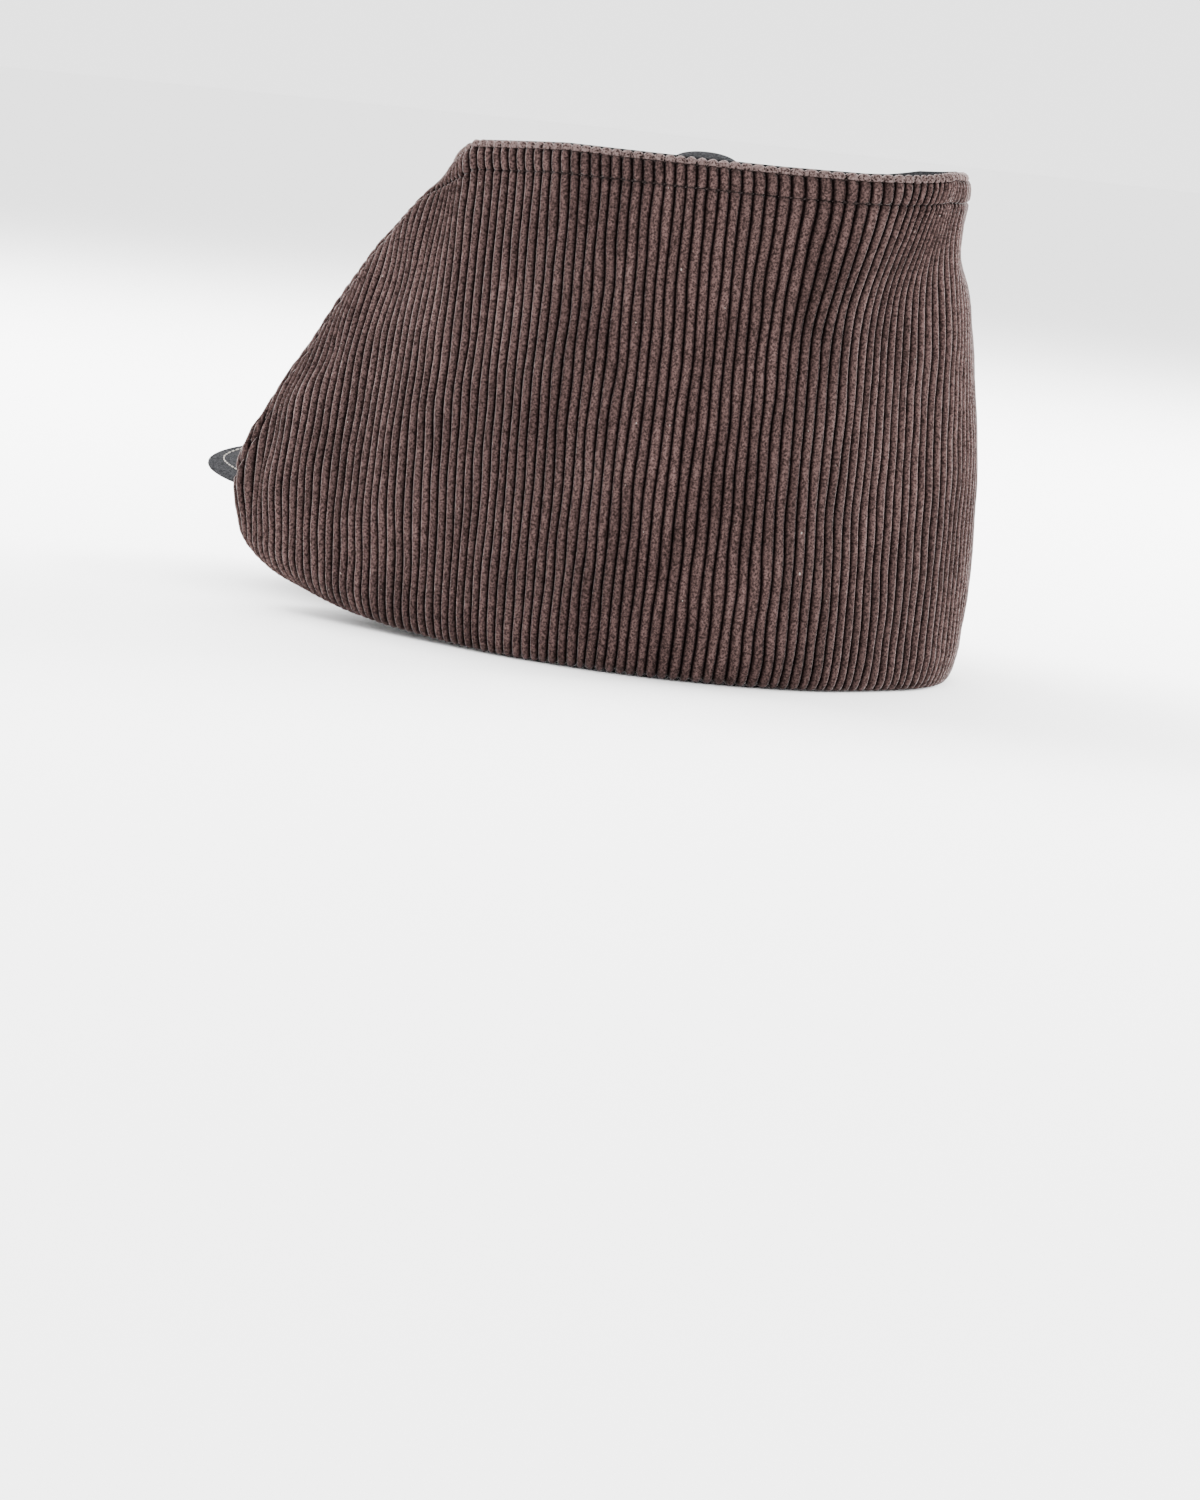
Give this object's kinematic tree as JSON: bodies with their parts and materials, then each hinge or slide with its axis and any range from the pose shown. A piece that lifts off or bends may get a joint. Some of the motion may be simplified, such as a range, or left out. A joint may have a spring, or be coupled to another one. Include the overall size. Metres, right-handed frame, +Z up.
{
  "type": "riding cap",
  "caption": "Panelled wool cap with a small peak, a covered top button and a deep corduroy flap turned up round its sides and back.",
  "frame": {"origin": "on the surface the cap rests on, under the middle of its overall box", "axes": "+Z up; the peak points to -Y; the wearer's left is +X"},
  "size_m": [0.187, 0.26, 0.1475],
  "materials": {
    "charcoal_wool": "matte felted wool",
    "brown_corduroy": "matte ribbed pile",
    "charcoal_facing": "matte wool cloth"
  },
  "bodies": {
    "root": {"crown_panel_back_left": "charcoal_wool", "crown_panel_side_left": "charcoal_wool", "crown_panel_front_left": "charcoal_wool", "crown_panel_front_right": "charcoal_wool", "crown_panel_side_right": "charcoal_wool", "crown_panel_back_right": "charcoal_wool", "crown_button": "charcoal_wool", "peak": "charcoal_wool", "flap_corduroy": "brown_corduroy", "flap_facing": "charcoal_facing"}
  },
  "joints": []
}
